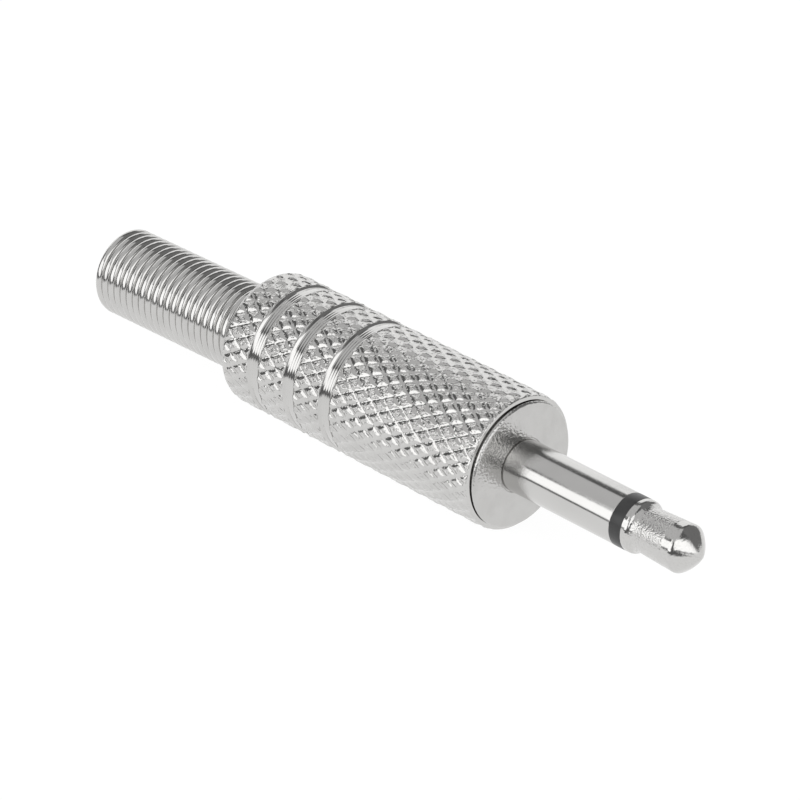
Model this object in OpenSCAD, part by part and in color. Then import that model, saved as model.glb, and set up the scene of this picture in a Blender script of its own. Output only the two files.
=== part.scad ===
// Mono jack plug for a cable: knurled screw-on shell with a coil-spring strain relief.
// The axis of the plug is X, the nose points to +X and the flange face lies at X = 0. Millimetres.

/* [Pin] */
// Diameter of the sleeve, the insulating ring and the collar of the tip
pin_d = 3.5; // [3.2:0.05:3.8]
// Length of the pin, from the flange face to the nose
pin_len = 15.1; // [14.4:0.05:17]
// Distance from the flange face to the insulating ring
ring_x = 9.06; // [7:0.02:9.5]
// Width of the insulating ring
ring_w = 0.97; // [0.6:0.01:1.3]
// Width of the straight collar behind the neck of the tip
collar_w = 0.2; // [0.1:0.05:0.8]
// Length of the slope from the collar down to the neck
neck_run = 0.7; // [0.5:0.05:0.9]
// Diameter of the neck of the tip
neck_d = 2.94; // [2.6:0.02:3.1]
// Diameter of the tip at its shoulder
bulb_d = 3.2; // [3.12:0.02:3.4]
// Angle between the nose and the axis where it leaves the shoulder
nose_angle = 31; // [25:1:40]
// Angle between the nose and the axis where its round end begins
nose_end_angle = 61; // [54:1:68]
// Diameter of the round end of the nose
nose_d = 1.5; // [0.6:0.05:1.8]
// Diameter of the rod that carries the tip through the pin
rod_d = 1.6; // [1.4:0.05:1.7]
// Inside diameter of the sleeve
sleeve_in_d = 2.4; // [2.3:0.05:2.5]

/* [Flange body] */
// Diameter of the flange
flange_d = 8.4; // [8:0.02:8.7]
// Thickness of the flange
flange_w = 0.26; // [0.26:0.02:1.2]
// Radius of the edge of the flange
flange_round = 0.18; // [0.1:0.02:0.2]
// Outside diameter of the thread
thread_d = 6.8; // [6.6:0.05:6.9]
// Length of the threaded stub
thread_len = 4.4; // [3.5:0.1:5.5]
// Diameter of the sleeve's reduced shank inside the stub
shank_d = 3; // [2.8:0.05:3.1]
// Depth to which the full sleeve is let into the flange face
seat_depth = 0.1; // [0.08:0.01:0.14]

/* [Shell] */
// Length of the shell
shell_len = 22.85; // [21.5:0.05:25]
// Diameter over the peaks of the knurl
knurl_d = 9.1; // [9:0.02:9.4]
// Depth of the knurl
knurl_depth = 0.24; // [0.15:0.01:0.26]
// Number of diamonds around the shell
diamonds = 30; // [24:1:32]
// Depth of the plain bands below the peaks of the knurl
band_depth = 0.18; // [0.1:0.01:0.22]
// Wall between the grooves of the knurl and the cavity behind the thread
shell_wall = 0.66; // [0.6:0.02:0.7]
// Thickness of the rear wall
rear_wall = 1.6; // [1:0.1:2]
// Radius of the rear edge
rear_round = 0.45; // [0.2:0.05:0.6]

/* [Strain relief spring] */
// Outside diameter of the spring
spring_d = 5.9; // [5.5:0.05:6.1]
// Diameter of the wire
wire_d = 0.58; // [0.5:0.01:0.62]
// Length of the spring outside the shell
spring_out = 13.8; // [10:0.1:14]
// Number of wide turns that hold the spring in the shell
seat_turns = 1.5; // [1:0.25:1.5]

/* [Terminals and insulation] */
// Thickness of the sheet of both solder lugs
sheet = 0.4; // [0.3:0.05:0.5]
// Diameter of the eye for the wire in both lugs
eye_d = 1.1; // [0.8:0.1:1.3]
// Distance from the back of the sleeve lug to its eye
eye_x = 3.5; // [2.5:0.1:5]
// Distance from the back of the stub to the cable clamp
clamp_x = 7.8; // [7:0.1:8]
// Length of the cable clamp
clamp_len = 3; // [2:0.1:3.2]
// Inside diameter of the cable clamp
clamp_in_d = 4.6; // [4.2:0.1:4.8]
// Width of the gap between the ends of the clamp
clamp_gap = 2.6; // [2:0.1:3.2]
// Width of the strip between the sleeve lug and its clamp
strip_w = 3; // [2:0.1:3.2]
// Wall of the insulating liner
liner_wall = 0.3; // [0.2:0.05:0.35]
// Thickness of the insulating washer between the lugs
washer_w = 0.7; // [0.5:0.05:1]

/* [Clearances] */
// Radial gap between pieces that are pressed or riveted together
press_gap = 0.02; // [0.01:0.01:0.03]
// Radial gap of the thread and of the liner in the shell
thread_gap = 0.05; // [0.03:0.01:0.08]
// Gap between the flange and the front of the shell
seat_gap = 0.03; // [0.02:0.01:0.1]
// Radial gap between the spring and the hole in the shell
spring_gap = 0.17; // [0.1:0.01:0.2]
// Gap between neighbouring turns of the spring
turn_gap = 0.02; // [0.01:0.01:0.04]

/* [Hidden] */
$fn = 96;

NICKEL = [0.80, 0.80, 0.79];
SATIN_NICKEL = [0.74, 0.74, 0.73];
TINNED = [0.70, 0.70, 0.68];
BLACK = [0.12, 0.12, 0.12];
FIBRE = [0.55, 0.33, 0.20];
CLEAR_PLASTIC = [0.86, 0.88, 0.88, 0.6];

// Stations along the axis, from the nose back
ring_end = ring_x + ring_w;
flange_back = -flange_w;
stub_back = flange_back - thread_len;
lug_back = stub_back - sheet;
rim_back = lug_back - sheet;
washer_back = rim_back - washer_w;
tip_lug_back = washer_back - sheet;
shell_front = flange_back - seat_gap;
shell_back = shell_front - shell_len;
cavity_back = shell_back + rear_wall;
spring_back = shell_back - spring_out;

// Small allowances: runout of the shell's thread, metal spread by riveting, and edges of the washers
thread_runout = 0.4;
rim_spread = 0.6;
rivet_spread = 0.45;
washer_edge = 0.1;
spigot_len = 0.5;
play = 0.1;

// Radii
pin_r = pin_d / 2;
rod_r = rod_d / 2;
sleeve_in_r = sleeve_in_d / 2;
shank_r = shank_d / 2;
thread_r = thread_d / 2;
thread_bore_r = thread_r + thread_gap;
peak_r = knurl_d / 2;
groove_r = peak_r - knurl_depth;
core_sink = 0.01;
core_r = groove_r - core_sink;
band_r = peak_r - band_depth;
cavity_r = groove_r - shell_wall;
spring_r = spring_d / 2;
spring_hole_r = spring_r + spring_gap;
rim_r = shank_r + rim_spread;
rivet_r = rod_r + rivet_spread;
washer_r = rim_r + washer_edge;
spigot_front = rim_back + spigot_len;
thread_back = stub_back - thread_runout;
relief_back = thread_back - (cavity_r - thread_bore_r);

// Knurl: the lattice runs over the whole shell, in half diamonds, and three plain bands interrupt it
KNURL_ROWS = [15, 3, 3, 3];
BAND_ROWS = 1;
front_land = 0.1;
edge_drop = 0.12;
rows_before = [for (k = [0:3]) BAND_ROWS * k + (k == 0 ? 0 : KNURL_ROWS[0] + KNURL_ROWS[1] * (k - 1))];
all_rows = rows_before[3] + KNURL_ROWS[3];
half_diamond = (shell_len - front_land - rear_round) / all_rows;
facets = 2 * diamonds;

// Spring: turns touch almost, and the front turns widen behind the rear wall of the shell
WIRE_SIDES = 8;
TURN_STEPS = 16;
wire_r = wire_d / 2;
coil_r = spring_r - wire_r;
turn_pitch = wire_d + turn_gap;
seat_coil_r = cavity_r - thread_gap - wire_r - play;
coil_start = spring_back + wire_r;
flare_start = cavity_back + wire_r + thread_gap;
coil_end = flare_start + seat_turns * turn_pitch;
coil_steps = ceil((coil_end - coil_start) / turn_pitch * TURN_STEPS);

// Liner: from just behind the stub to the wide turns of the spring
liner_r = cavity_r - thread_gap;
liner_front = relief_back;
liner_back = coil_end + wire_r + play;

// Points on an arc about a centre [radius, x]
function arc(centre, r, from, to, steps = 8) =
  [for (k = [0:steps]) let (a = from + (to - from) * k / steps) centre + r * [cos(a), sin(a)]];

// Turns a profile of [radius, x] points about the axis of the plug
module turned(profile) {
  rotate([0, 90, 0]) rotate_extrude() polygon(profile);
}

// A plain tube or disc between two stations
module tube(r_out, r_in, back, front) {
  turned([[r_in, back], [r_out, back], [r_out, front], [r_in, front]]);
}

// Outer surface of the knurl at a lattice point: peaks and groove crossings take turns
function knurl_r(col, row) =
  (col + row) % 2 == 0 ? groove_r : (col == 0 || col == all_rows ? peak_r - edge_drop : peak_r);
function around(r, x, row) = [x, r * cos(row * 360 / facets), r * sin(row * 360 / facets)];
function column_x(col) = shell_front - front_land - col * half_diamond;

// One knurled belt of the shell: a ring of pyramids, split along the bottoms of its grooves
module knurl_belt(first, rows) {
  inner_r = (cavity_r + core_r) / 2;
  cols = [first:first + rows];
  outer = [
    for (col = cols)
      for (row = [0:facets - 1])
        around(knurl_r(col, row), column_x(col), row)
  ];
  inner = [
    for (col = [first, first + rows])
      for (row = [0:facets - 1])
        around(inner_r, column_x(col), row)
  ];
  base = len(outer);
  // Index of a lattice point, counted from the front column of this belt
  function p(i, j) = i * facets + j % facets;
  function q(k, j) = base + k * facets + j % facets;
  skin = [
    for (i = [0:rows - 1])
      for (j = [0:facets - 1])
        for (side = [0, 1])
          (first + i + j) % 2 == 0
            ? (side == 0 ? [p(i, j), p(i + 1, j + 1), p(i + 1, j)] : [p(i, j), p(i, j + 1), p(i + 1, j + 1)])
            : (side == 0 ? [p(i, j), p(i, j + 1), p(i + 1, j)] : [p(i + 1, j), p(i, j + 1), p(i + 1, j + 1)])
  ];
  front = [for (j = [0:facets - 1]) [p(0, j), q(0, j), q(0, j + 1), p(0, j + 1)]];
  back = [for (j = [0:facets - 1]) [p(rows, j), p(rows, j + 1), q(1, j + 1), q(1, j)]];
  bore = [for (j = [0:facets - 1]) [q(0, j), q(1, j), q(1, j + 1), q(0, j + 1)]];
  polyhedron(concat(outer, inner), concat(skin, front, back, bore), convexity = 6);
}

// Screw-on shell: turned core with a threaded mouth and a rear hole for the spring, knurled in four belts
// with a plain band between each two
module shell() {
  mouth = front_land;
  color(NICKEL) union() {
    turned(concat(
      [
        [spring_hole_r, shell_back], [spring_hole_r, cavity_back], [cavity_r, cavity_back],
        [cavity_r, relief_back], [thread_bore_r, thread_back],
        [thread_bore_r, shell_front - mouth], [thread_bore_r + mouth, shell_front],
        [core_r - mouth, shell_front], [core_r, shell_front - mouth]
      ],
      arc([core_r - rear_round, shell_back + rear_round], rear_round, 0, -90)
    ));
    for (k = [0:3]) knurl_belt(rows_before[k], KNURL_ROWS[k]);
    for (first = [for (k = [1:3]) rows_before[k]])
      tube(band_r, cavity_r + shell_wall / 2, column_x(first), column_x(first - BAND_ROWS));
  }
}

// Strain relief: a close-wound coil of round wire whose front turns are held inside the shell
function coil_radius(x) =
  coil_r + (seat_coil_r - coil_r) * min(1, max(0, (x - flare_start) / turn_pitch));
function wire_point(step, side) =
  let (x = coil_start + step * turn_pitch / TURN_STEPS)
  let (turn = step * 360 / TURN_STEPS)
  let (r = coil_radius(x) + wire_r * cos(side * 360 / WIRE_SIDES))
  [x + wire_r * sin(side * 360 / WIRE_SIDES), r * cos(turn), r * sin(turn)];

module strain_relief_spring() {
  function w(step, side) = step * WIRE_SIDES + side % WIRE_SIDES;
  points = [for (step = [0:coil_steps]) for (side = [0:WIRE_SIDES - 1]) wire_point(step, side)];
  wall = [
    for (step = [0:coil_steps - 1])
      for (side = [0:WIRE_SIDES - 1])
        for (face = [
          [w(step, side), w(step, side + 1), w(step + 1, side + 1)],
          [w(step, side), w(step + 1, side + 1), w(step + 1, side)]
        ]) face
  ];
  first_end = [for (side = [WIRE_SIDES - 1:-1:0]) w(0, side)];
  last_end = [for (side = [0:WIRE_SIDES - 1]) w(coil_steps, side)];
  color(NICKEL) polyhedron(points, concat(wall, [first_end, last_end]), convexity = 10);
}

// Loose plastic tube that keeps the soldered wires off the shell
module insulating_liner() {
  color(CLEAR_PLASTIC) tube(liner_r, liner_r - liner_wall, liner_back, liner_front);
}

// Flange and threaded stub in one piece, bored for the sleeve and counterbored for its full diameter
module flange_body() {
  flange_r = flange_d / 2;
  seat_r = pin_r + press_gap;
  seat_edge = 0.06;
  bore_r = shank_r + press_gap;
  relief = 0.3;
  relief_w = 0.5;
  back_edge = 0.03;
  color(SATIN_NICKEL) turned(concat(
    [
      [bore_r, stub_back], [thread_r - relief, stub_back], [thread_r, stub_back + relief],
      [thread_r, flange_back - relief_w], [thread_r - relief, flange_back - relief_w],
      [thread_r - relief, flange_back], [flange_r - back_edge, flange_back],
      [flange_r, flange_back + back_edge]
    ],
    arc([flange_r - flange_round, -flange_round], flange_round, 0, 90),
    [[seat_r + seat_edge, 0], [seat_r, -seat_edge], [seat_r, -seat_depth], [bore_r, -seat_depth]]
  ));
}

// Sleeve: a turned tube whose shank goes through the stub and is riveted over the sleeve lug
module sleeve_barrel() {
  edge = 0.05;
  color(NICKEL) turned([
    [sleeve_in_r, rim_back], [rim_r - sheet / 2, rim_back], [rim_r, rim_back + sheet / 2], [rim_r, lug_back],
    [shank_r, lug_back], [shank_r, -seat_depth], [pin_r, -seat_depth],
    [pin_r, ring_x - edge], [pin_r - edge, ring_x], [sleeve_in_r, ring_x]
  ]);
}

// Black bush: the ring that shows between sleeve and tip, and the tube that lines the sleeve
module tip_insulator() {
  bush_r = sleeve_in_r - press_gap;
  hole_r = rod_r + press_gap;
  tube_back = spigot_front + play;
  color(BLACK) turned([
    [hole_r, tube_back], [bush_r, tube_back], [bush_r, ring_x],
    [pin_r, ring_x], [pin_r, ring_end], [hole_r, ring_end]
  ]);
}

// Tip: collar, neck, shoulder and nose in one turned piece with its rod, riveted at the back of the tip lug
module tip_contact() {
  neck_r = neck_d / 2;
  bulb_r = bulb_d / 2;
  nose_r = nose_d / 2;
  bulb_round = 0.24;
  rivet_back = tip_lug_back - sheet;
  step = pin_r - neck_r;
  collar_end = ring_end + collar_w;
  neck_x = collar_end + neck_run;
  // Two arcs that meet make the slope to the neck: a tight one at the collar, a wide one in the neck
  slope = 2 * atan(step / neck_run);
  arcs_r = neck_run / sin(slope);
  collar_round = 0.35 * arcs_r;
  neck_round = arcs_r - collar_round;
  // The flank of the nose is an arc that runs smoothly into the round shoulder and the round end
  shoulder_r = bulb_r - bulb_round;
  round_x = pin_len - nose_r;
  flank_round = (shoulder_r + bulb_round * cos(nose_angle) - nose_r * cos(nose_end_angle))
    / (cos(nose_angle) - cos(nose_end_angle));
  flank_centre = [0, round_x] + (nose_r - flank_round) * [cos(nose_end_angle), sin(nose_end_angle)];
  shoulder_x = flank_centre[1] + (flank_round - bulb_round) * sin(nose_angle);
  color(NICKEL) turned(concat(
    [
      [0, rivet_back], [rivet_r - sheet / 2, rivet_back], [rivet_r, rivet_back + sheet / 2],
      [rivet_r, tip_lug_back], [rod_r, tip_lug_back], [rod_r, ring_end], [pin_r, ring_end]
    ],
    arc([pin_r - collar_round, collar_end], collar_round, 0, slope, 5),
    arc([neck_r + neck_round, neck_x], neck_round, 180 + 0.8 * slope, 180, 5),
    arc([shoulder_r, shoulder_x], bulb_round, 0, 0.8 * nose_angle, 4),
    arc(flank_centre, flank_round, nose_angle, nose_end_angle, 6),
    arc([0, round_x], nose_r, nose_end_angle + 0.15 * (90 - nose_end_angle), 90, 5)
  ));
}

// Sleeve lug: a washer on the stub, a strip bent back from it with an eye for the wire, and the cable clamp
module sleeve_lug() {
  clamp_r = clamp_in_d / 2;
  outer_r = clamp_r + sheet;
  clamp_front = stub_back - clamp_x;
  clamp_back = clamp_front - clamp_len;
  taper = 0.8;
  past = 1;
  slot_len = clamp_len + 2 * past;
  color(TINNED) union() {
    tube(outer_r, shank_r + press_gap, lug_back, stub_back);
    // Strip between washer and clamp, rounded like the clamp that it runs into
    difference() {
      intersection() {
        tube(outer_r, clamp_r, clamp_back, lug_back);
        translate([clamp_back, -strip_w / 2, -outer_r]) cube([lug_back - clamp_back, strip_w, outer_r]);
      }
      translate([lug_back - eye_x, 0, -2 * outer_r]) cylinder(d = eye_d, h = 2 * outer_r);
    }
    // Clamp: two fingers curled round the cable, with their corners cut off
    difference() {
      tube(outer_r, clamp_r, clamp_back, clamp_front);
      translate([clamp_back - past, -clamp_gap / 2, 0]) cube([slot_len, clamp_gap, 2 * outer_r]);
      for (end = [0, 1])
        translate([end ? clamp_front : clamp_back, 0, outer_r])
          rotate([90, 0, 0])
            linear_extrude(4 * outer_r, center = true)
              polygon([[-taper, past], [-taper, 0], [0, -3 * taper], [taper, 0], [taper, past]]);
    }
  }
}

// Stepped washer that keeps the tip lug off the riveted rim of the sleeve
module rear_insulator() {
  hole_r = rod_r + press_gap;
  spigot_r = sleeve_in_r - press_gap;
  color(FIBRE) turned([
    [hole_r, washer_back], [washer_r, washer_back], [washer_r, rim_back],
    [spigot_r, rim_back], [spigot_r, spigot_front], [hole_r, spigot_front]
  ]);
}

// Tip lug: a washer under the rivet of the rod, and a tongue bent back from it with an eye for the wire
module tip_lug() {
  lug_r = washer_r - 2 * washer_edge;
  tongue_w = 2;
  tongue_len = 3.2;
  inset = 0.05;
  tongue_top = sqrt(lug_r * lug_r - tongue_w * tongue_w / 4) - inset;
  color(TINNED) union() {
    tube(lug_r, rod_r + press_gap, tip_lug_back, washer_back);
    translate([tip_lug_back - tongue_len, 0, tongue_top - sheet])
      difference() {
        union() {
          translate([0, -tongue_w / 2, 0]) cube([tongue_len + sheet, tongue_w, sheet]);
          cylinder(d = tongue_w, h = sheet);
        }
        translate([0, 0, -sheet]) cylinder(d = eye_d, h = 3 * sheet);
      }
  }
}

shell();
strain_relief_spring();
insulating_liner();
flange_body();
sleeve_barrel();
tip_insulator();
tip_contact();
sleeve_lug();
rear_insulator();
tip_lug();
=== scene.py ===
# Mono jack plug in bright nickel: knurled screw-on shell, coil-spring strain relief, two-pole pin.
# Lengths are metres. The axis of the plug is X, the nose points to +X and the flange face lies at X = 0.
import math

import bmesh
import bpy
from mathutils import Matrix, Vector


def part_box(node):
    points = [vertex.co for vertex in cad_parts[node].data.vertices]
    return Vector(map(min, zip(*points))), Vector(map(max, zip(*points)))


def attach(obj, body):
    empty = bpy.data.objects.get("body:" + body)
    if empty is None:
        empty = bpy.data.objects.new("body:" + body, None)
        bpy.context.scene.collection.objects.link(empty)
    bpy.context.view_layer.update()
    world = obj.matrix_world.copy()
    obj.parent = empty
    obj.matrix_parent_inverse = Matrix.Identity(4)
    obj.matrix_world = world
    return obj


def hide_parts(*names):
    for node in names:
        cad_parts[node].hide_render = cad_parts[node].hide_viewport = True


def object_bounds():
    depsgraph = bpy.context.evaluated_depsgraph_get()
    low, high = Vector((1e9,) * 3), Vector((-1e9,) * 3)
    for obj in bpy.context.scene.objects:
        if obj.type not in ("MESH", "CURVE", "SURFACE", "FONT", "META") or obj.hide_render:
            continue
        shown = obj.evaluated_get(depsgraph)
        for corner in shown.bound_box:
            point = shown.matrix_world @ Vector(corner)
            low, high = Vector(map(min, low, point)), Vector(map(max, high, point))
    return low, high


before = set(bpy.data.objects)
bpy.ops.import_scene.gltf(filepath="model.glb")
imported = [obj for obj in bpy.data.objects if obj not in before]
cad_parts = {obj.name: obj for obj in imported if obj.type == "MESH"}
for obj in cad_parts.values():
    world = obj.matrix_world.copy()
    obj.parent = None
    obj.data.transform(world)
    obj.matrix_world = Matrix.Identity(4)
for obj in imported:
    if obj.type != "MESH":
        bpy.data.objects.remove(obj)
cad_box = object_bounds()
scene = bpy.context.scene
MM = 0.001


def front(node):
    """The station where a node ends towards the nose."""
    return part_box(node)[1][0]


def back(node):
    """The station where a node ends towards the cable."""
    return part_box(node)[0][0]


def radius(node):
    """The largest radius of a node about the axis."""
    low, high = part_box(node)
    return (high[2] - low[2]) / 2


# Pin
PIN_R = radius("tip_insulator")
PIN_END = front("tip_contact")
PIN_EDGE = 0.04 * MM
PIN_SIDES = 256
RING_BACK = front("sleeve_barrel")
RING_FRONT = front("tip_insulator")
RING_EDGE = 0.03 * MM
SLEEVE_IN_R = 1.2 * MM
ROD_R = 0.8 * MM
COLLAR_W = 0.2 * MM
# How much of the two arcs from collar to neck is the collar's own
COLLAR_SHARE = 0.35
NECK_RUN = 0.7 * MM
NECK_R = 1.47 * MM
BULB_R = 1.6 * MM
BULB_ROUND = 0.4 * MM
NOSE_R = 0.7 * MM
NOSE_ANGLE = math.radians(38)
NOSE_END_ANGLE = math.radians(58)
# How much of these arcs is drawn, so that none of them meets the next in a doubled point
NECK_SHARE, SHOULDER_SHARE, FLANK_SHARE = 0.9, 0.75, 0.97
# Stations between which the grain of the neck comes and goes
GRAIN_IN = (RING_FRONT + 0.4 * MM, RING_FRONT + 0.8 * MM)
GRAIN_OUT = (PIN_END - 2.1 * MM, PIN_END - 1.9 * MM)
RIVET_R = 1.25 * MM
RIVET_W = 0.4 * MM

# Flange body and the shank riveted into it
FLANGE_R = radius("flange_body")
FLANGE_W = 0.26 * MM
FLANGE_ROUND = 0.19 * MM
STUB_BACK = back("flange_body")
STUB_CHAMFER = 0.2 * MM
SHANK_R = 1.5 * MM
SEAT_R = PIN_R + 0.07 * MM
SEAT_DEPTH = 0.1 * MM
SEAT_EDGE = 0.03 * MM
FINE_EDGE = 0.02 * MM
PRESS_GAP = 0.02 * MM
THREAD_R = 3.4 * MM
THREAD_ROOT_R = 3.2 * MM
THREAD_PITCH = 0.5 * MM
THREAD_RIDGE = 0.16 * MM
THREAD_START = STUB_BACK + 0.3 * MM
THREAD_END = -FLANGE_W - 0.6 * MM
RIVETED_R = radius("sleeve_barrel")
RIVETED_W = 0.4 * MM
# Dark seam between the flange and the shell
SEAM_R = FLANGE_R - 0.25 * MM
SEAM_EASE = 0.05 * MM
SEAM_EDGE = 0.015 * MM

# Shell
SHELL_FRONT = front("shell")
SHELL_BACK = back("shell")
PEAK_R = radius("shell")
KNURL_DEPTH = 0.24 * MM
GROOVE_R = PEAK_R - KNURL_DEPTH
CORE_R = GROOVE_R - 0.01 * MM
CAVITY_R = GROOVE_R - 0.66 * MM
REAR_WALL = 1.6 * MM
REAR_ROUND = 0.45 * MM
HOLE_ROUND = 0.1 * MM
LIP_R = FLANGE_R + 0.03 * MM
FRONT_LAND = 0.1 * MM
LAND_SLOPE = 0.05 * MM
THREAD_BORE_R = THREAD_R + 0.05 * MM
THREAD_RUNOUT = 0.4 * MM

# Knurl, as belts of so many rows of half diamonds, with a plain band after each belt but the last
KNURL_ROWS = (15, 3, 3, 3)
BAND_ROWS = 1
ALL_ROWS = sum(KNURL_ROWS) + BAND_ROWS * (len(KNURL_ROWS) - 1)
FACETS = 60
HALF_DIAMOND = (SHELL_FRONT - SHELL_BACK - FRONT_LAND - REAR_ROUND) / ALL_ROWS
KNURL_STEPS = 8
# Share of a row by which the knurl stops short of a rim
TRIM = 1 / KNURL_STEPS
STUD_RISE = 0.1 * MM
LAND_R = PEAK_R - STUD_RISE - 0.02 * MM
BELT_IN_R = CORE_R - 0.2 * MM
# Columns of a belt's mesh that lie on its inside
INNER_COLUMNS = 3

# Plain bands, each a little longer at both ends than its row
BAND_R = PEAK_R - 0.18 * MM
BAND_GROW = 0.055 * MM
BAND_EDGE = 0.015 * MM
BAND_RIDGES = 4
BAND_RIDGE = 0.008 * MM
BAND_POINTS = 25
RIM_R = PEAK_R - 0.05 * MM
RIM_LAP = 0.015 * MM
RIM_W = TRIM * HALF_DIAMOND - BAND_GROW + RIM_LAP

# Spring
SPRING_R = 2.95 * MM
WIRE_R = 0.299 * MM
COIL_R = SPRING_R - WIRE_R
COIL_PITCH = 0.6 * MM
SPRING_HOLE_R = SPRING_R + 0.17 * MM
SEAT_COIL_R = radius("strain_relief_spring") - WIRE_R
COIL_START = back("strain_relief_spring") + WIRE_R
COIL_END = front("strain_relief_spring") - WIRE_R
FLARE_START = SHELL_BACK + REAR_WALL + WIRE_R + 0.05 * MM
# The loose spring rests on one side of its hole and hangs a little
LEAN_SHIFT = 0.15 * MM
LEAN_SLOPE = 0.022
LEAN_Y, LEAN_Z = -0.633, -0.774


class Wire:
    """An output socket of a node tree. Arithmetic on it adds Math nodes to that tree."""

    def __init__(self, tree, socket):
        self.tree = tree
        self.socket = socket

    def math(self, operation, *others):
        values = dict(enumerate((self, *others)))
        return self.tree.add("ShaderNodeMath", {"operation": operation}, values)

    def reflected(self, operation, other):
        return self.tree.add("ShaderNodeMath", {"operation": operation}, {0: other, 1: self})

    def __add__(self, other):
        return self.math("ADD", other)

    def __sub__(self, other):
        return self.math("SUBTRACT", other)

    def __mul__(self, other):
        return self.math("MULTIPLY", other)

    def __truediv__(self, other):
        return self.math("DIVIDE", other)

    def __pow__(self, other):
        return self.math("POWER", other)

    def __lt__(self, other):
        return self.math("LESS_THAN", other)

    def __gt__(self, other):
        return self.math("GREATER_THAN", other)

    def __rsub__(self, other):
        return self.reflected("SUBTRACT", other)

    def __rtruediv__(self, other):
        return self.reflected("DIVIDE", other)

    __radd__ = __add__
    __rmul__ = __mul__

    def clamp(self, low, high):
        return self.math("MAXIMUM", low).math("MINIMUM", high)

    def ease(self, low, high, first=0, last=1):
        """First up to low, last from high on, and smooth in between."""
        sockets = {"Value": self, "From Min": low, "From Max": high, "To Min": first, "To Max": last}
        return self.tree.add("ShaderNodeMapRange", {"interpolation_type": "SMOOTHSTEP"}, sockets)

    def past(self, limit, blur):
        """0 before limit, 1 past it, and smooth within blur of it."""
        return self.ease(limit - blur, limit + blur)


class Tree:
    """A node tree that nodes are added to by type, with their settings first and their sockets after."""

    def __init__(self, data):
        self.data = data

    def find(self, sockets, key):
        if isinstance(key, int):
            return sockets[key]
        return next(s for s in sockets if key in (s.identifier, s.name))

    def add(self, kind, settings=None, sockets=None, out=0):
        node = self.data.nodes.new(kind)
        for key, value in (settings or {}).items():
            setattr(node, key, value)
        for key, value in (sockets or {}).items():
            socket = self.find(node.inputs, key)
            if isinstance(value, Wire):
                self.data.links.new(value.socket, socket)
            else:
                socket.default_value = value
        if isinstance(out, tuple):
            return [Wire(self, self.find(node.outputs, key)) for key in out]
        return None if out is None else Wire(self, self.find(node.outputs, out))

    def point(self, x, y, z):
        """A vector from its three values."""
        return self.add("ShaderNodeCombineXYZ", {}, {"X": x, "Y": y, "Z": z})

    def blend(self, share, first, second):
        """A colour between two."""
        sockets = {"Factor_Float": share, "A_Color": first, "B_Color": second}
        return self.add("ShaderNodeMix", {"data_type": "RGBA"}, sockets, out="Result_Color")

    def noise(self, point, size, detail=2.0, stretch=(1, 1, 1)):
        """Noise whose grains are about size across, drawn out along the axes by stretch."""
        scale = tuple(1 / (size * s) for s in stretch)
        place = self.add("ShaderNodeMapping", {}, {"Vector": point, "Scale": scale})
        sockets = {"Vector": place, "Scale": 1, "Detail": detail}
        return self.add("ShaderNodeTexNoise", {}, sockets, out="Fac")

    def relief(self, *layers):
        """A normal from layers of (height, depth), where a height between 0 and 1 stands for the depth."""
        normal = None
        for height, depth in layers:
            sockets = {"Height": height, "Distance": depth, "Strength": 1}
            if normal is not None:
                sockets["Normal"] = normal
            normal = self.add("ShaderNodeBump", {}, sockets, out="Normal")
        return normal


def blank(holder):
    """The emptied node tree of a material or a world."""
    holder.use_nodes = True
    tree = Tree(holder.node_tree)
    tree.data.nodes.clear()
    return tree


def finish(name, paint, **fixed):
    """A material: paint gives the sockets that vary over the surface, fixed those that don't."""
    material = bpy.data.materials.new(name)
    tree = blank(material)
    point = tree.add("ShaderNodeTexCoord", out="Object")
    sockets = {key.replace("_", " "): value for key, value in fixed.items()}
    shader = tree.add("ShaderNodeBsdfPrincipled", {}, {**sockets, **paint(tree, point)}, out="BSDF")
    tree.add("ShaderNodeOutputMaterial", {}, {"Surface": shader}, out=None)
    return material


# Finishes
NICKEL = (0.60, 0.595, 0.585, 1)
NICKEL_DULL = (0.52, 0.515, 0.505, 1)
PLASTIC_BLACK, PLASTIC_GREY = (0.030, 0.030, 0.031, 1), (0.045, 0.045, 0.045, 1)
TIN_DULL, TIN_BRIGHT = (0.56, 0.55, 0.52, 1), (0.70, 0.69, 0.66, 1)
FIBRE_DARK, FIBRE_PALE = (0.20, 0.085, 0.04, 1), (0.36, 0.17, 0.085, 1)
LINER_HAZY, LINER_CLEAR = (0.86, 0.88, 0.88, 1), (0.93, 0.94, 0.94, 1)
# Shape of the marks that a lathe leaves, fine along the axis and long round it
LATHE = (1, 40, 40)


def plating(tree, mottle, low=0.35, high=0.75, least=0, most=0.5):
    """Nickel that dulls as mottle goes from low to high. Least and most are the dull colour's shares."""
    return tree.blend(mottle.ease(low, high, least, most), NICKEL, NICKEL_DULL)


def knurl_nickel(tree, point):
    """Bright plating over a pressed knurl: soft orange peel, and ragged pits in the tops of the studs."""
    stud, belt = (
        tree.add("ShaderNodeAttribute", {"attribute_name": name}, out="Fac") for name in ("stud", "belt"))
    swell = tree.noise(point, size=0.6 * MM, detail=0)
    peel = tree.noise(point, size=0.2 * MM, detail=1)
    dents = tree.noise(point, size=0.15 * MM, detail=3)
    cloud = tree.noise(point, size=3 * MM)
    raggedness, band_swell = 0.6, 0.3
    rough_top = dents * stud.ease(low=0.25, high=0.6)
    pit = (stud + (dents - 0.5) * raggedness).ease(low=0.62, high=0.85)
    return {
        "Base Color": plating(tree, cloud),
        "Roughness": 0.09 + cloud * 0.05,
        # The plain bands have less of the swell, and no peel
        "Normal": tree.relief(
            (swell * (band_swell + belt * (1 - band_swell)), 0.03 * MM),
            (peel * belt, 0.035 * MM),
            (rough_top, 0.035 * MM),
            (1 - pit, 0.03 * MM)),
    }


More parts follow.
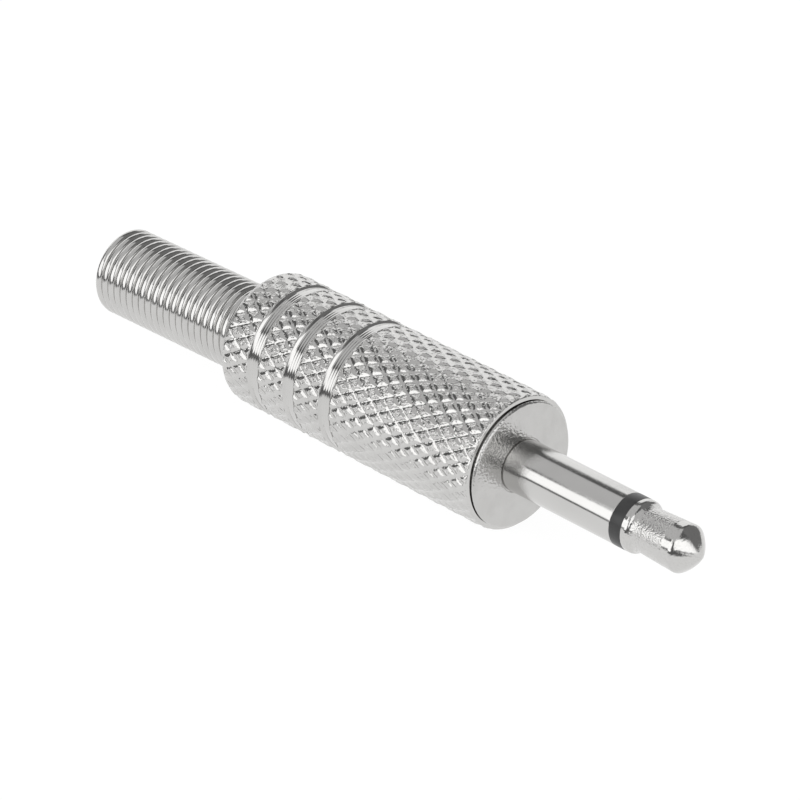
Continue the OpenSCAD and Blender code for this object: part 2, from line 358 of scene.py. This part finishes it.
def turned_nickel(tree, point):
    """Polished plating on the sleeve, over fine turning marks that run round it."""
    rings = tree.noise(point, size=0.02 * MM, stretch=LATHE)
    cloud = tree.noise(point, size=2 * MM, stretch=(2, 1, 1))
    return {
        "Base Color": plating(tree, cloud, low=0.4, high=0.8, most=0.4),
        "Roughness": 0.07 + rings * 0.05,
        "Normal": tree.relief((rings, 0.003 * MM)),
    }


def satin_nickel(tree, point):
    """The flange: plating over a blasted face with a fine grain."""
    grain = tree.noise(point, size=0.17 * MM, detail=1)
    cloud = tree.noise(point, size=1.2 * MM)
    return {
        "Base Color": plating(tree, cloud, least=0.4, most=0.8),
        "Roughness": 0.14 + grain * 0.1,
        "Normal": tree.relief((grain, 0.035 * MM)),
    }


def tip_nickel(tree, point):
    """The tip: turned, then barrel-plated, so that its neck has a fine grain and its nose almost none."""
    grain = tree.noise(point, size=0.11 * MM, detail=1)
    rings = tree.noise(point, size=0.03 * MM, stretch=LATHE)
    x = tree.add("ShaderNodeSeparateXYZ", {}, {0: point}, out="X")
    neck = x.ease(*GRAIN_IN) * (1 - x.ease(*GRAIN_OUT))
    nose_grain = 0.2
    return {
        "Base Color": plating(tree, grain, low=0.4, high=0.7, most=0.35),
        "Roughness": 0.09 + grain * 0.04,
        "Normal": tree.relief((grain * (nose_grain + neck), 0.03 * MM), (rings, 0.0008 * MM)),
    }


def spring_nickel(tree, point):
    """Plated wire with fine marks from drawing and coiling."""
    marks = tree.noise(point, size=0.05 * MM, stretch=(1, 6, 6))
    cloud = tree.noise(point, size=1.5 * MM)
    return {
        "Base Color": plating(tree, cloud),
        "Roughness": 0.1 + marks * 0.06,
        "Normal": tree.relief((marks, 0.0003 * MM)),
    }


def black_plastic(tree, point):
    """Moulded insulator, dark grey with a soft sheen."""
    grain = tree.noise(point, size=0.08 * MM, detail=3)
    rings = tree.noise(point, size=0.04 * MM, stretch=(1, 30, 30))
    return {
        "Base Color": tree.blend(grain, PLASTIC_BLACK, PLASTIC_GREY),
        "Roughness": 0.28 + grain * 0.12,
        "Normal": tree.relief((grain, 0.002 * MM), (rings, 0.001 * MM)),
    }


def tinned_brass(tree, point):
    """Stamped lugs with a mottled tin coat."""
    mottle = tree.noise(point, size=0.5 * MM, detail=4)
    rolled = tree.noise(point, size=0.04 * MM, stretch=(30, 1, 1))
    return {
        "Base Color": tree.blend(mottle, TIN_DULL, TIN_BRIGHT),
        "Roughness": 0.24 + mottle * 0.2,
        "Normal": tree.relief((rolled, 0.002 * MM)),
    }


def hard_fibre(tree, point):
    """Pressed brown fibre of the rear washer."""
    fibres = tree.noise(point, size=0.06 * MM, detail=4, stretch=(1, 5, 2))
    return {
        "Base Color": tree.blend(fibres, FIBRE_DARK, FIBRE_PALE),
        "Roughness": 0.55 + fibres * 0.2,
        "Normal": tree.relief((fibres, 0.008 * MM)),
    }


def clear_plastic(tree, point):
    """Thin milky tube that lines the shell."""
    haze = tree.noise(point, size=0.8 * MM, stretch=(4, 1, 1))
    return {
        "Base Color": tree.blend(haze, LINER_HAZY, LINER_CLEAR),
        "Roughness": 0.18 + haze * 0.12,
        "Normal": tree.relief((haze, 0.004 * MM)),
    }


FINISHES = {
    "nickel": finish("knurl_nickel", knurl_nickel, Metallic=1),
    "polished_nickel": finish("turned_nickel", turned_nickel, Metallic=1),
    "satin_nickel": finish("satin_nickel", satin_nickel, Metallic=1),
    "tip_nickel": finish("tip_nickel", tip_nickel, Metallic=1),
    "spring_wire": finish("spring_nickel", spring_nickel, Metallic=1),
    "black_plastic": finish("black_plastic", black_plastic),
    "tinned_brass": finish("tinned_brass", tinned_brass, Metallic=1),
    "hard_fibre": finish("hard_fibre", hard_fibre),
    "clear_plastic": finish("clear_plastic", clear_plastic, Transmission_Weight=0.8, IOR=1.45),
}

# Meshes
AXIS_R = 1e-7
SHARP_ANGLE = math.radians(40)


def rounded(corners, steps=6):
    """An outline through corners (x, r) or (x, r, fillet), with each fillet as an arc."""
    outline = []
    for k, corner in enumerate(corners):
        here = Vector(corner[:2])
        if len(corner) < 3:
            outline.append(here)
            continue
        one = (Vector(corners[k - 1][:2]) - here).normalized()
        two = (Vector(corners[(k + 1) % len(corners)][:2]) - here).normalized()
        half = one.angle(two) / 2
        centre = here + (one + two).normalized() * corner[2] / math.sin(half)
        start = here + one * corner[2] / math.tan(half) - centre
        end = here + two * corner[2] / math.tan(half) - centre
        turn = start.angle_signed(end)
        for step in range(steps + 1):
            outline.append(centre + Matrix.Rotation(-turn * step / steps, 2) @ start)
    return outline


def arc(x, r, size, first, last, steps=12):
    """Outline points on an arc about (x, r), with angles counted from the radius towards the nose."""
    angles = [first + (last - first) * k / steps for k in range(steps + 1)]
    return [(x + size * math.sin(a), r + size * math.cos(a)) for a in angles]


def turned(name, outline, sides=192):
    """A ring or solid turned about the axis from a closed outline of (x, r) points."""
    shape = bmesh.new()
    rings = []
    for x, r in outline:
        if r < AXIS_R:
            rings.append([shape.verts.new((x, 0, 0))] * sides)
            continue
        angles = [math.tau * k / sides for k in range(sides)]
        rings.append([shape.verts.new((x, r * math.cos(a), r * math.sin(a))) for a in angles])
    for one, two in zip(rings, rings[1:] + rings[:1]):
        for k in range(sides):
            loop = [one[k], one[(k + 1) % sides], two[(k + 1) % sides], two[k]]
            corners = list(dict.fromkeys(loop))
            if len(corners) > 2:
                shape.faces.new(corners)
    bmesh.ops.recalc_face_normals(shape, faces=shape.faces)
    mesh = bpy.data.meshes.new(name)
    shape.to_mesh(mesh)
    shape.free()
    mesh.set_sharp_from_angle(angle=SHARP_ANGLE)
    return mesh


def grown(name, sizes, build, material):
    """A plain mesh made by a geometry tree. Sizes are the tree's named inputs, and build wires it up."""
    data = bpy.data.node_groups.new(name, "GeometryNodeTree")
    data.interface.new_socket("Mesh", in_out="OUTPUT", socket_type="NodeSocketGeometry")
    sockets = {}
    for key, value in sizes.items():
        kind = "NodeSocketInt" if isinstance(value, int) else "NodeSocketFloat"
        sockets[key] = data.interface.new_socket(key, in_out="INPUT", socket_type=kind).identifier
    tree = Tree(data)
    inputs = tree.add("NodeGroupInput", out=tuple(sizes))
    made = build(tree, dict(zip(sizes, inputs)))
    real = tree.add("GeometryNodeRealizeInstances", {}, {"Geometry": made})
    dressed = tree.add("GeometryNodeSetMaterial", {}, {"Geometry": real, "Material": material})
    tree.add("NodeGroupOutput", {}, {0: dressed}, out=None)
    carrier = bpy.data.objects.new(name, bpy.data.meshes.new(name))
    scene.collection.objects.link(carrier)
    modifier = carrier.modifiers.new(name, "NODES")
    modifier.node_group = data
    for key, value in sizes.items():
        modifier[sockets[key]] = value
    depsgraph = bpy.context.evaluated_depsgraph_get()
    mesh = bpy.data.meshes.new_from_object(carrier.evaluated_get(depsgraph))
    carrier.modifiers.remove(modifier)
    bpy.data.objects.remove(carrier)
    return mesh


def piece(name, meshes, body, slot, replaced):
    """One piece of the plug from one or more meshes, in its finish, in place of its CAD node."""
    shape = bmesh.new()
    for mesh in meshes:
        shape.from_mesh(mesh)
        bpy.data.meshes.remove(mesh)
    joined = bpy.data.meshes.new(name)
    shape.to_mesh(joined)
    shape.free()
    for face in joined.polygons:
        face.use_smooth = True
        face.material_index = 0
    joined.materials.clear()
    joined.materials.append(FINISHES[slot])
    thing = bpy.data.objects.new(name, joined)
    scene.collection.objects.link(thing)
    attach(thing, body)
    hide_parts(replaced)
    return thing


# Shell
def knurl_belt(tree, size):
    """A ring of low studs with dished, uneven tops between two crossing sets of grooves, closed inside."""
    steps, peak = size["Steps"], size["Peak radius"]
    # The first column and the last but one lie on the inside, and the last comes back to the first
    columns = size["Rows"] * steps + (1 + INNER_COLUMNS)
    rings = size["Facets"] * steps + 1
    sockets = {"Size X": columns - 1, "Size Y": rings - 1, "Vertices X": columns, "Vertices Y": rings}
    grid = tree.add("GeometryNodeMeshGrid", {}, sockets)
    place = tree.add("GeometryNodeInputPosition")
    across, along = tree.add("ShaderNodeSeparateXYZ", {}, {0: place}, out=("X", "Y"))
    across, along = across + (columns - 1) / 2, along + (rings - 1) / 2
    column, row = across.math("ROUND"), along.math("ROUND")
    # The cells that a groove crosses one way are split along it, and the others the other way
    cell_column, cell_row = ((across - 1) / steps).math("FLOOR"), (along / steps).math("FLOOR")
    other = (size["First"] + cell_column + cell_row).math("FLOORED_MODULO", 2) > 0.5
    for method, chosen in (("FIXED", 1 - other), ("FIXED_ALTERNATE", other)):
        settings = {"quad_method": method}
        grid = tree.add("GeometryNodeTriangulate", settings, {"Mesh": grid, "Selection": chosen})
    closing = column > columns - 1.5
    inside = (column < 0.5).math("MAXIMUM", column > columns - 2.5)
    # Place on the lattice: u counts half diamonds along the shell, and v counts them round it
    within = ((column - 1) / steps).clamp(size["Trim front"], size["Rows"] - size["Trim rear"])
    u = size["First"] + within * (1 - closing) + size["Trim front"] * closing
    v = row / steps
    turn = v * (math.tau / size["Facets"])
    cosine, sine = turn.math("COSINE"), turn.math("SINE")
    x = size["Front"] - u * size["Half diamond"]
    one, two = (u + v).math("PINGPONG", 1), (u - v).math("PINGPONG", 1)
    height = one.math("SMOOTH_MIN", two, size["Crest softness"]).math("MAXIMUM", 0)
    flank = 1 - ((1 - height) / (1 - size["Groove share"])).math("MINIMUM", 1) ** size["Fullness"]
    # No two tops are alike
    sockets = {0: tree.point(x, peak * cosine, peak * sine), "Scale": 1 / size["Dent size"]}
    spot = tree.add("ShaderNodeVectorMath", {"operation": "SCALE"}, sockets)
    uneven = tree.add("ShaderNodeTexNoise", {}, {"Vector": spot, "Scale": 1, "Detail": 1}, out="Fac") - 0.5
    top = (height + uneven * size["Top wander"]).ease(size["Top start"], size["Top end"])
    dish = top * size["Dish"] + uneven * height * size["Unevenness"]
    knurled = peak - size["Rise"] * (1 - flank + dish)
    # The shell is rounded off at both ends
    end = u.math("MINIMUM", size["All rows"] - u)
    drop = (1 - end / size["Edge rows"]).math("MAXIMUM", 0) ** 2 * size["Edge drop"]
    outer = knurled.math("MINIMUM", peak - drop)
    r = outer * (1 - inside) + size["Inner radius"] * inside
    settings = {"data_type": "FLOAT", "domain": "POINT"}
    for name, value in (("stud", height * (1 - inside)), ("belt", 1 - inside)):
        sockets = {"Geometry": grid, "Name": name, "Value": value}
        grid = tree.add("GeometryNodeStoreNamedAttribute", settings, sockets)
    point = tree.point(x, r * cosine, r * sine)
    wrapped = tree.add("GeometryNodeSetPosition", {}, {"Geometry": grid, "Position": point})
    return tree.add("GeometryNodeMergeByDistance", {}, {"Geometry": wrapped, "Distance": size["Weld"]})


def column_x(column):
    """The station of a column of the knurl's lattice."""
    return SHELL_FRONT - FRONT_LAND - column * HALF_DIAMOND


def band_outline(column):
    """A plain band between two rims, with the fine ridges that its turning tool left."""
    start, end = column_x(column) + BAND_GROW, column_x(column + BAND_ROWS) - BAND_GROW
    # The tool's trailing side left the rear wall sloping
    foot = end + (RIM_R - BAND_R)
    floor = []
    for k in range(BAND_POINTS):
        share = k / (BAND_POINTS - 1)
        wave = 0.5 - 0.5 * math.cos(math.tau * BAND_RIDGES * share)
        floor.append((start + (foot - start) * share, BAND_R - BAND_RIDGE * wave))
    corners = [(start + RIM_W, CORE_R), (start + RIM_W, RIM_R, BAND_EDGE), (start, RIM_R, BAND_EDGE)]
    corners += floor
    corners += [(end, RIM_R, BAND_EDGE), (end - RIM_W, RIM_R, BAND_EDGE), (end - RIM_W, CORE_R)]
    return rounded(corners, steps=2)


def shell_core():
    """The turned core under the knurl: threaded mouth, bands, rear wall with the spring's hole, cavity."""
    cavity_back = SHELL_BACK + REAR_WALL
    thread_back = STUB_BACK - THREAD_RUNOUT
    outline = rounded([
        (SHELL_FRONT, THREAD_BORE_R + FRONT_LAND),
        (SHELL_FRONT, SEAM_R),
        (SHELL_FRONT - SEAM_EASE, SEAM_R),
        (SHELL_FRONT - SEAM_EASE, LIP_R, FINE_EDGE),
        (column_x(0), LAND_R),
        (column_x(0) - LAND_SLOPE, CORE_R),
    ])
    column = 0
    for rows in KNURL_ROWS[:-1]:
        column += rows
        outline += band_outline(column)
        column += BAND_ROWS
    outline += rounded([
        (SHELL_BACK + 2 * REAR_ROUND, CORE_R),
        (SHELL_BACK, CORE_R, REAR_ROUND),
        (SHELL_BACK, SPRING_HOLE_R, HOLE_ROUND),
        (cavity_back, SPRING_HOLE_R),
        (cavity_back, CAVITY_R, HOLE_ROUND),
        (thread_back - (CAVITY_R - THREAD_BORE_R), CAVITY_R),
        (thread_back, THREAD_BORE_R),
        (SHELL_FRONT - FRONT_LAND, THREAD_BORE_R),
    ])
    return turned("shell_core", outline)


def make_shell():
    """The knurl's belts as one piece, and the core that they sit on."""
    belts = []
    first = 0
    for rows in KNURL_ROWS:
        last = first + rows == ALL_ROWS
        sizes = {
            "Rows": rows, "First": first, "Facets": FACETS, "Steps": KNURL_STEPS, "All rows": ALL_ROWS,
            "Trim front": TRIM if first else 0.0, "Trim rear": 0.0 if last else TRIM,
            "Front": column_x(0), "Half diamond": HALF_DIAMOND, "Peak radius": PEAK_R,
            "Inner radius": BELT_IN_R, "Rise": STUD_RISE, "Groove share": 0.1, "Fullness": 1.6,
            "Crest softness": 0.12, "Top start": 0.7, "Top end": 0.95, "Top wander": 0.4,
            "Dish": 0.14, "Dent size": 0.24 * MM, "Unevenness": 0.55,
            "Edge rows": 0.6, "Edge drop": 0.12 * MM, "Weld": 0.0005 * MM,
        }
        belts.append(grown("knurl_belt", sizes, knurl_belt, FINISHES["nickel"]))
        first += rows + BAND_ROWS
    piece("knurl", belts, "shell", "nickel", "shell")
    piece("shell_core", [shell_core()], "shell", "nickel", "shell")


# Spring and thread
def coil(tree, size):
    """Round wire wound about the axis, with its last turns widened."""
    line = tree.add("GeometryNodeCurvePrimitiveLine")
    count = size["Turns"] * size["Steps"] + 1
    points = tree.add("GeometryNodeResampleCurve", {}, {"Curve": line, "Count": count})
    share = tree.add("GeometryNodeSplineParameter", out="Factor")
    turn = share * size["Turns"] * math.tau
    x = size["Start"] + share * size["Turns"] * size["Pitch"]
    wide = ((x - size["Flare start"]) / size["Pitch"]).clamp(0, 1)
    r = size["Radius"] + (size["Flare radius"] - size["Radius"]) * wide
    lean = size["Lean shift"] + size["Lean slope"] * (size["Lean start"] - x)
    y = r * turn.math("COSINE") + lean * LEAN_Y
    z = r * turn.math("SINE") + lean * LEAN_Z
    sockets = {"Geometry": points, "Position": tree.point(x, y, z)}
    path = tree.add("GeometryNodeSetPosition", {}, sockets)
    section = {"Radius": size["Wire radius"], "Resolution": size["Sides"]}
    ring = tree.add("GeometryNodeCurvePrimitiveCircle", {}, section)
    sockets = {"Curve": path, "Profile Curve": ring, "Fill Caps": True}
    return tree.add("GeometryNodeCurveToMesh", {}, sockets)


def make_spring():
    """The coil, with the wide turn inside the shell that holds it there."""
    sizes = {
        "Start": COIL_START, "Pitch": COIL_PITCH, "Turns": (COIL_END - COIL_START) / COIL_PITCH,
        "Steps": 48, "Radius": COIL_R, "Flare radius": SEAT_COIL_R, "Flare start": FLARE_START,
        "Wire radius": WIRE_R, "Sides": 16, "Lean shift": LEAN_SHIFT, "Lean slope": LEAN_SLOPE,
        "Lean start": SHELL_BACK,
    }
    wire = grown("spring_wire", sizes, coil, FINISHES["spring_wire"])
    piece("spring_coil", [wire], "spring", "spring_wire", "strain_relief_spring")


def stub_thread():
    """The ridge of the thread that the shell screws onto."""
    middle_r = THREAD_R - THREAD_RIDGE
    sizes = {
        "Start": THREAD_START, "Pitch": THREAD_PITCH, "Turns": (THREAD_END - THREAD_START) / THREAD_PITCH,
        "Steps": 64, "Radius": middle_r, "Flare radius": middle_r, "Flare start": THREAD_END,
        "Wire radius": THREAD_RIDGE, "Sides": 8, "Lean shift": 0.0, "Lean slope": 0.0,
        "Lean start": THREAD_END,
    }
    return grown("stub_thread", sizes, coil, FINISHES["satin_nickel"])


# Flange and pin
def make_flange():
    """The flange, with the recess that the pin's foot sits in, and the threaded stub behind it."""
    bore_r = SHANK_R + PRESS_GAP
    outline = rounded([
        (STUB_BACK, bore_r),
        (STUB_BACK, THREAD_ROOT_R - STUB_CHAMFER),
        (STUB_BACK + STUB_CHAMFER, THREAD_ROOT_R),
        (-FLANGE_W, THREAD_ROOT_R),
        (-FLANGE_W, SEAM_R),
        (SEAM_EASE - FLANGE_W, SEAM_R),
        (SEAM_EASE - FLANGE_W, FLANGE_R, SEAM_EDGE),
        (0, FLANGE_R, FLANGE_ROUND),
        (0, SEAT_R + SEAT_EDGE, FINE_EDGE),
        (-SEAT_EDGE, SEAT_R),
        (-SEAT_DEPTH, SEAT_R),
        (-SEAT_DEPTH, bore_r),
    ])
    meshes = [turned("flange", outline, PIN_SIDES), stub_thread()]
    piece("flange_and_stub", meshes, "plug", "satin_nickel", "flange_body")


def make_sleeve():
    """The bright tube of the pin, and its shank with the riveted rim."""
    rim_back = back("sleeve_barrel")
    lug_back = rim_back + RIVETED_W
    outline = rounded([
        (rim_back, SLEEVE_IN_R),
        (rim_back, RIVETED_R, RIVETED_W / 2),
        (lug_back, RIVETED_R),
        (lug_back, SHANK_R),
        (-SEAT_DEPTH, SHANK_R),
        (-SEAT_DEPTH, PIN_R),
        (RING_BACK, PIN_R, PIN_EDGE),
        (RING_BACK, SLEEVE_IN_R),
    ])
    piece("sleeve", [turned("sleeve", outline, PIN_SIDES)], "plug", "polished_nickel", "sleeve_barrel")


def make_insulator():
    """The black ring between sleeve and tip, and its bush round the rod."""
    bush_r = SLEEVE_IN_R - PRESS_GAP
    hole_r = ROD_R + PRESS_GAP
    outline = rounded([
        (back("tip_insulator"), hole_r),
        (back("tip_insulator"), bush_r, RING_EDGE),
        (RING_BACK, bush_r),
        (RING_BACK, PIN_R, RING_EDGE),
        (RING_FRONT, PIN_R, RING_EDGE),
        (RING_FRONT, hole_r),
    ])
    piece("insulating_ring", [turned("ring", outline, PIN_SIDES)], "plug", "black_plastic", "tip_insulator")


def make_tip():
    """The tip, from its riveted rod through collar and neck to the nose."""
    rivet_back = back("tip_contact")
    rivet_front = rivet_back + RIVET_W
    collar_end = RING_FRONT + COLLAR_W
    neck_x = collar_end + NECK_RUN
    slope = 2 * math.atan((PIN_R - NECK_R) / NECK_RUN)
    arcs_r = NECK_RUN / math.sin(slope)
    collar_round = COLLAR_SHARE * arcs_r
    neck_round = arcs_r - collar_round
    # The flank of the nose is an arc between the round shoulder and the round end
    shoulder_r = BULB_R - BULB_ROUND
    nose_x = PIN_END - NOSE_R
    reach = shoulder_r + BULB_ROUND * math.cos(NOSE_ANGLE) - NOSE_R * math.cos(NOSE_END_ANGLE)
    flank_round = reach / (math.cos(NOSE_ANGLE) - math.cos(NOSE_END_ANGLE))
    flank_x = nose_x + (NOSE_R - flank_round) * math.sin(NOSE_END_ANGLE)
    flank_r = (NOSE_R - flank_round) * math.cos(NOSE_END_ANGLE)
    shoulder_x = flank_x + (flank_round - BULB_ROUND) * math.sin(NOSE_ANGLE)
    outline = rounded([
        (rivet_back, 0),
        (rivet_back, RIVET_R, RIVET_W / 2),
        (rivet_front, RIVET_R),
        (rivet_front, ROD_R),
        (RING_FRONT, ROD_R),
        (RING_FRONT, PIN_R, PIN_EDGE),
    ])
    outline += arc(collar_end, PIN_R - collar_round, collar_round, 0, slope)
    outline += arc(neck_x, NECK_R + neck_round, neck_round, math.pi + NECK_SHARE * slope, math.pi)
    outline += arc(shoulder_x, shoulder_r, BULB_ROUND, 0, SHOULDER_SHARE * NOSE_ANGLE)
    outline += arc(flank_x, flank_r, flank_round, NOSE_ANGLE, FLANK_SHARE * NOSE_END_ANGLE)
    outline += arc(nose_x, 0, NOSE_R, NOSE_END_ANGLE, math.pi / 2)
    outline[-1] = (PIN_END, 0)
    piece("tip", [turned("tip", outline, PIN_SIDES)], "plug", "tip_nickel", "tip_contact")


# Studio, seen from the plug: forward is away from the viewer, and turns to the right count as positive
FORWARD = (-0.72, 0.694, 0)
SIDEWAYS = (0.694, 0.72, 0)
DEGREES = 180 / math.pi
SOFT = 2.0
WHITE = (1, 1, 1, 1)

# Brightness of the lights, and of the gaps between them
BACKDROP = 1.17
WALL = 0.9 * BACKDROP
SWEEP = 1.0
FRONT = 1.65
CEILING = 0.67
DARK = 0.14
DIM = 0.22

# Turns and rises, in degrees, that the lights and the dim gap lie between
GROUND = -90
BACKDROP_TURNS, BACKDROP_RISES = (-50, 15), (GROUND, 40)
WALL_TURNS, WALL_RISES = (15, 45), (GROUND, 31)
DIM_TURNS = (45, 115)
# The sweep's top is level on the right, and to the left of one turn it falls as a parabola
SWEEP_TURNS, SWEEP_TOP = (45, 152), 20
SWEEP_LEVEL, SWEEP_RUN, SWEEP_DROP = 100, 40, 22
# Lights beside the viewer, with turns counted from the way to the viewer, and positive to the right.
# An edge of four numbers has two turns, and the rise or the share of light at each.
LEFT_TURNS, LEFT_FOOT = (-97, -20), (-72, -64, 2, -2)
LEFT_CLIMB, LEFT_FALL = (-88, -76, 27, 46), (-65, -45, 0, 12)
RIGHT_START, RIGHT_END = (-6, -2, 0, 1), (36, 74, 1, 0)
RIGHT_FOOT, RIGHT_TOP = (25, 58, 5, 20), 43
# Panel overhead. An edge has two places, in heights of the panel, and the share of light at each.
CEILING_LEFT, CEILING_RIGHT = (-1.5, -1.4, 0, 1), (0.35, 0.5, 1, 0)
CEILING_NEAR, CEILING_FAR = (-1.4, -1.2, 0, 1), (1.02, 1.12, 1, 0)
CEILING_CORNER, FAR_SLANT = (0.44, 0.54, 1, 0), 0.43
HORIZON = 0.05

# Table, and where it ends in what the metal shows
FLOOR_HALF = 1.5
PAPER = (0.9, 0.9, 0.9, 1)
TABLE_LEFT = (-112, -48)
TABLE_END, END_BLUR = 60 * MM, 6 * MM
TABLE_SLANT, SLANT_REACH = 1.5, (-6 * MM, 2 * MM)
TABLE_FRONT, FRONT_BLUR = 28 * MM, 3 * MM
TABLE_CORNER, CORNER_BLUR = 16 * MM, 4 * MM
# Share of the table's white that is glow rather than lit paper for the camera, and how far it is lifted
GLOW_SHARE, GLOW_LIFT = 0.85, 0.1


def degrees_between(angle, low, high):
    """1 for angles in degrees between low and high, fading out over SOFT degrees at both ends."""
    return angle.past(low, SOFT) * (1 - angle.past(high, SOFT))


def panel(turn, rise, turns, rises):
    """1 on a light between two turns and two rises."""
    return degrees_between(turn, *turns) * degrees_between(rise, *rises)


def plan(tree, place):
    """Of a place or direction seen from above: how far it is forward, sideways and in all, and its turn."""
    forward, sideways = (
        tree.add("ShaderNodeVectorMath", {"operation": "DOT_PRODUCT"}, {0: place, 1: axis}, out="Value")
        for axis in (FORWARD, SIDEWAYS))
    level = (forward * forward + sideways * sideways).math("SQRT")
    return forward, sideways, level, sideways.math("ARCTAN2", forward) * DEGREES


def make_world():
    """White behind and on the right, grey overhead, a light on each side of the viewer, and dark gaps."""
    world = bpy.data.worlds.new("studio")
    scene.world = world
    tree = blank(world)
    way = tree.add("ShaderNodeTexCoord", out="Generated")
    forward, sideways, level, turn = plan(tree, way)
    z = tree.add("ShaderNodeSeparateXYZ", {}, {0: way}, out="Z")
    rise = z.math("ARCTAN2", level) * DEGREES
    front_turn = sideways.math("ARCTAN2", forward * -1) * DEGREES
    backdrop = panel(turn, rise, BACKDROP_TURNS, BACKDROP_RISES)
    wall = panel(turn, rise, WALL_TURNS, WALL_RISES)
    sweep_top = SWEEP_TOP - ((SWEEP_LEVEL - turn).math("MAXIMUM", 0) / SWEEP_RUN) ** 2 * SWEEP_DROP
    sweep = panel(turn, rise, SWEEP_TURNS, (GROUND, sweep_top))
    left_top = front_turn.ease(*LEFT_CLIMB) - front_turn.ease(*LEFT_FALL)
    left = panel(front_turn, rise, LEFT_TURNS, (front_turn.ease(*LEFT_FOOT), left_top))
    right = front_turn.ease(*RIGHT_START) * front_turn.ease(*RIGHT_END)
    right = right * degrees_between(rise, front_turn.ease(*RIGHT_FOOT), RIGHT_TOP)
    over = z.math("MAXIMUM", HORIZON)
    across, along = sideways / over, forward / over
    ceiling = across.ease(*CEILING_LEFT) * across.ease(*CEILING_RIGHT) * (z > HORIZON)
    ceiling = ceiling * along.ease(*CEILING_NEAR) * (along - across * FAR_SLANT).ease(*CEILING_FAR)
    ceiling = ceiling * (along + across).ease(*CEILING_CORNER)
    lights = (
        (left, FRONT), (right, FRONT), (ceiling, CEILING),
        (backdrop, BACKDROP), (wall, WALL), (sweep, SWEEP))
    bright = DARK + degrees_between(turn, *DIM_TURNS) * (DIM - DARK)
    for shape, strength in lights:
        bright = bright.math("MAXIMUM", shape * strength)
    camera = tree.add("ShaderNodeLightPath", out="Is Camera Ray")
    shown = tree.add("ShaderNodeBackground", {}, {"Color": tree.blend(camera, bright, WHITE)})
    tree.add("ShaderNodeOutputWorld", {}, {"Surface": shown}, out=None)


def make_floor():
    """A white table that the plug lies on. In the metal it ends on the left and in front of the plug."""
    low = cad_box[0][2]
    corners = [(sx * FLOOR_HALF, sy * FLOOR_HALF, low) for sx, sy in ((-1, -1), (1, -1), (1, 1), (-1, 1))]
    mesh = bpy.data.meshes.new("floor")
    mesh.from_pydata(corners, [], [(0, 1, 2, 3)])
    material = bpy.data.materials.new("white_table")
    tree = blank(material)
    forward, sideways, level, turn = plan(tree, tree.add("ShaderNodeTexCoord", out="Object"))
    far = (level + forward.clamp(*SLANT_REACH) * TABLE_SLANT).past(TABLE_END, END_BLUR)
    left = far * degrees_between(turn, *TABLE_LEFT)
    near = (forward * -1).past(TABLE_FRONT, FRONT_BLUR) * (1 - sideways.past(TABLE_CORNER, CORNER_BLUR))
    camera, glossy, through = tree.add(
        "ShaderNodeLightPath", out=("Is Camera Ray", "Is Glossy Ray", "Is Transmission Ray"))
    bright = 1 - left.math("MAXIMUM", near) * glossy * (1 - DARK) + camera * GLOW_LIFT
    glow = tree.add("ShaderNodeEmission", {}, {"Color": bright})
    paper = tree.add("ShaderNodeBsdfDiffuse", {}, {"Color": PAPER})
    share = (camera * GLOW_SHARE).math("MAXIMUM", glossy.math("MAXIMUM", through))
    mixed = tree.add("ShaderNodeMixShader", {}, {0: share, 1: paper, 2: glow})
    tree.add("ShaderNodeOutputMaterial", {}, {"Surface": mixed}, out=None)
    mesh.materials.append(material)
    floor = bpy.data.objects.new("floor", mesh)
    scene.collection.objects.link(floor)


# Camera, from the pose fitted to the photograph's 800 pixel frame
AZIMUTH = math.radians(46.05)
ELEVATION = math.radians(29.53)
DISTANCE = 300 * MM
# Station on the axis that the frame's offsets are measured from
AIM_X = 0.26 * MM
AIM_RIGHT = 7.72 * MM
AIM_DOWN = 4.114 * MM
FOCAL_PIXELS = 4862.4
FRAME_PIXELS = 800
SENSOR_WIDTH = 36
NEAREST, FARTHEST = 0.01, 10


def make_camera():
    """The camera at the photograph's angle, distance and framing."""
    level = math.cos(ELEVATION)
    right = Vector((math.cos(AZIMUTH), math.sin(AZIMUTH), 0))
    rear = Vector((math.sin(AZIMUTH) * level, -math.cos(AZIMUTH) * level, math.sin(ELEVATION)))
    up = rear.cross(right)
    lens = bpy.data.cameras.new("camera")
    lens.sensor_width = SENSOR_WIDTH
    lens.lens = FOCAL_PIXELS / FRAME_PIXELS * SENSOR_WIDTH
    lens.clip_start = NEAREST
    lens.clip_end = FARTHEST
    camera = bpy.data.objects.new("camera", lens)
    turn = Matrix((right, up, rear)).transposed().to_4x4()
    place = Vector((AIM_X, 0, 0)) - AIM_RIGHT * right + AIM_DOWN * up + DISTANCE * rear
    camera.matrix_world = Matrix.Translation(place) @ turn
    scene.collection.objects.link(camera)
    scene.camera = camera


# CAD nodes that keep their own shape and take a finish
INNER = {
    "insulating_liner": "clear_plastic",
    "sleeve_lug": "tinned_brass",
    "tip_lug": "tinned_brass",
    "rear_insulator": "hard_fibre",
}


def dress_inner():
    """The finishes of the pieces inside the shell."""
    for node, slot in INNER.items():
        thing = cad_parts[node]
        thing.data.materials.clear()
        thing.data.materials.append(FINISHES[slot])


scene.view_settings.view_transform = "Standard"
make_camera()
make_world()
make_floor()
make_shell()
make_spring()
make_flange()
make_sleeve()
make_insulator()
make_tip()
dress_inner()
